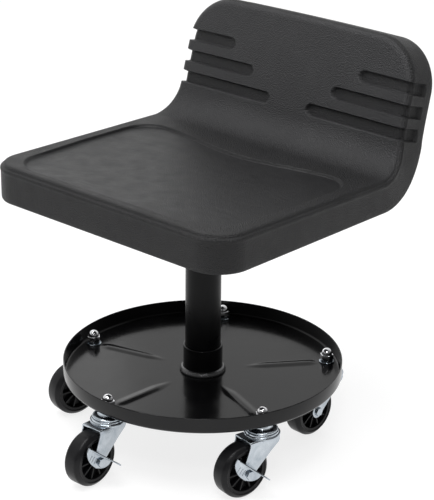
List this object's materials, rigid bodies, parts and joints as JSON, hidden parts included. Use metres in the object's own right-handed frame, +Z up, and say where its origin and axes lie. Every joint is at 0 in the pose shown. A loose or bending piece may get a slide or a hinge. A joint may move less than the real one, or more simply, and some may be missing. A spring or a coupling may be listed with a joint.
{
  "type": "adjustable swivel stool",
  "caption": "Low wheeled work stool with a moulded seat and backrest, gas-lift column, round tool tray and swivel casters.",
  "frame": {"origin": "on the column's axis at floor level, under the middle of the stool", "axes": "+Z up along the column, -Y the way the seated person faces, +X across the seat to its height lever"},
  "size_m": [0.432, 0.5076, 0.5716],
  "materials": {
    "seat_skin": "matte",
    "tray_enamel": "gloss",
    "satin_black": "satin",
    "chrome": "polished",
    "zinc": "satin",
    "wheel_plastic": "satin",
    "rubber": "matte",
    "nylon": "satin"
  },
  "bodies": {
    "base": {"tray": "tray_enamel", "column_sleeve": "satin_black", "sleeve_weld": "satin_black", "column_tube": "satin_black", "guide_bush": "nylon", "thrust_bearing": "zinc", "rubber_bumper": "rubber", "back_stem": "zinc", "back_washer": "zinc", "back_spring_washer": "zinc", "back_acorn_nut": "chrome", "left_stem": "zinc", "left_washer": "zinc", "left_spring_washer": "zinc", "left_acorn_nut": "chrome", "front_left_stem": "zinc", "front_left_washer": "zinc", "front_left_spring_washer": "zinc", "front_left_acorn_nut": "chrome", "front_right_stem": "zinc", "front_right_washer": "zinc", "front_right_spring_washer": "zinc", "front_right_acorn_nut": "chrome", "right_stem": "zinc", "right_washer": "zinc", "right_spring_washer": "zinc", "right_acorn_nut": "chrome"},
    "rod": {"piston_rod": "chrome", "piston": "nylon", "rod_clip": "zinc"},
    "seat": {"gas_cylinder": "satin_black", "seat_shell": "seat_skin", "seat_plate": "satin_black", "seat_socket": "satin_black", "lever_pivot_pin": "zinc", "seat_bolt_1": "zinc", "seat_bolt_2": "zinc", "seat_bolt_3": "zinc", "seat_bolt_4": "zinc"},
    "lever": {"height_lever": "zinc", "lever_grip": "nylon"},
    "release": {"release_pin": "zinc"},
    "back_fork": {"back_fork": "zinc", "back_axle": "zinc"},
    "back_wheel": {"back_wheel": "wheel_plastic"},
    "left_fork": {"left_fork": "zinc", "left_axle": "zinc"},
    "left_wheel": {"left_wheel": "wheel_plastic"},
    "front_left_fork": {"front_left_fork": "zinc", "front_left_axle": "zinc"},
    "front_left_wheel": {"front_left_wheel": "wheel_plastic"},
    "front_left_brake": {"front_left_brake": "zinc"},
    "front_right_fork": {"front_right_fork": "zinc", "front_right_axle": "zinc"},
    "front_right_wheel": {"front_right_wheel": "wheel_plastic"},
    "front_right_brake": {"front_right_brake": "zinc"},
    "right_fork": {"right_fork": "zinc", "right_axle": "zinc"},
    "right_wheel": {"right_wheel": "wheel_plastic"}
  },
  "joints": [
    {"name": "seat_swivel", "type": "hinge", "parent": "base", "child": "rod", "pos_m": [0, 0, 0.1], "axis": [0, 0, 1], "continuous": true},
    {"name": "seat_height", "type": "slide", "parent": "rod", "child": "seat", "axis": [0, 0, 1], "range_m": [0, 0.11]},
    {"name": "lever_lift", "type": "hinge", "parent": "seat", "child": "lever", "pos_m": [0.03, 0, 0.343], "axis": [0, -1, 0], "range_deg": [0, 3.5], "stiffness_Nm_per_rad": 2, "springref_deg": -11.46},
    {"name": "release_press", "type": "slide", "parent": "seat", "child": "release", "axis": [0, 0, -1], "range_m": [0, 0.002]},
    {"name": "back_swivel", "type": "hinge", "parent": "base", "child": "back_fork", "pos_m": [-0.09811, 0.14936, 0.087], "axis": [0, 0, 1], "continuous": true},
    {"name": "back_roll", "type": "hinge", "parent": "back_fork", "child": "back_wheel", "pos_m": [-0.10133, 0.114, 0.0381], "axis": [0.9959, -0.0906, 0], "continuous": true},
    {"name": "left_swivel", "type": "hinge", "parent": "base", "child": "left_fork", "pos_m": [-0.17237, -0.04715, 0.087], "axis": [0, 0, 1], "continuous": true},
    {"name": "left_roll", "type": "hinge", "parent": "left_fork", "child": "left_wheel", "pos_m": [-0.17926, -0.08198, 0.0381], "axis": [0.981, -0.1942, 0], "continuous": true},
    {"name": "front_left_swivel", "type": "hinge", "parent": "base", "child": "front_left_fork", "pos_m": [-0.00842, -0.1785, 0.087], "axis": [0, 0, 1], "continuous": true},
    {"name": "front_left_roll", "type": "hinge", "parent": "front_left_fork", "child": "front_left_wheel", "pos_m": [-0.00792, -0.214, 0.0381], "axis": [0.9999, 0.014, 0], "continuous": true},
    {"name": "front_left_brake_press", "type": "hinge", "parent": "front_left_fork", "child": "front_left_brake", "pos_m": [-0.00792, -0.214, 0.0381], "axis": [0.9999, 0.014, 0], "range_deg": [0, 25]},
    {"name": "front_right_swivel", "type": "hinge", "parent": "base", "child": "front_right_fork", "pos_m": [0.16716, -0.06317, 0.087], "axis": [0, 0, 1], "continuous": true},
    {"name": "front_right_roll", "type": "hinge", "parent": "front_right_fork", "child": "front_right_wheel", "pos_m": [0.16027, -0.09799, 0.0381], "axis": [0.981, -0.1942, 0], "continuous": true},
    {"name": "front_right_brake_press", "type": "hinge", "parent": "front_right_fork", "child": "front_right_brake", "pos_m": [0.16027, -0.09799, 0.0381], "axis": [0.981, -0.1942, 0], "range_deg": [0, 25]},
    {"name": "right_swivel", "type": "hinge", "parent": "base", "child": "right_fork", "pos_m": [0.11173, 0.13946, 0.087], "axis": [0, 0, 1], "continuous": true},
    {"name": "right_roll", "type": "hinge", "parent": "right_fork", "child": "right_wheel", "pos_m": [0.11037, 0.10399, 0.0381], "axis": [0.9993, -0.0384, 0], "continuous": true}
  ],
  "couplings": [
    {"joint": "release_press", "follows": "lever_lift", "m_per_rad": 0.03}
  ]
}
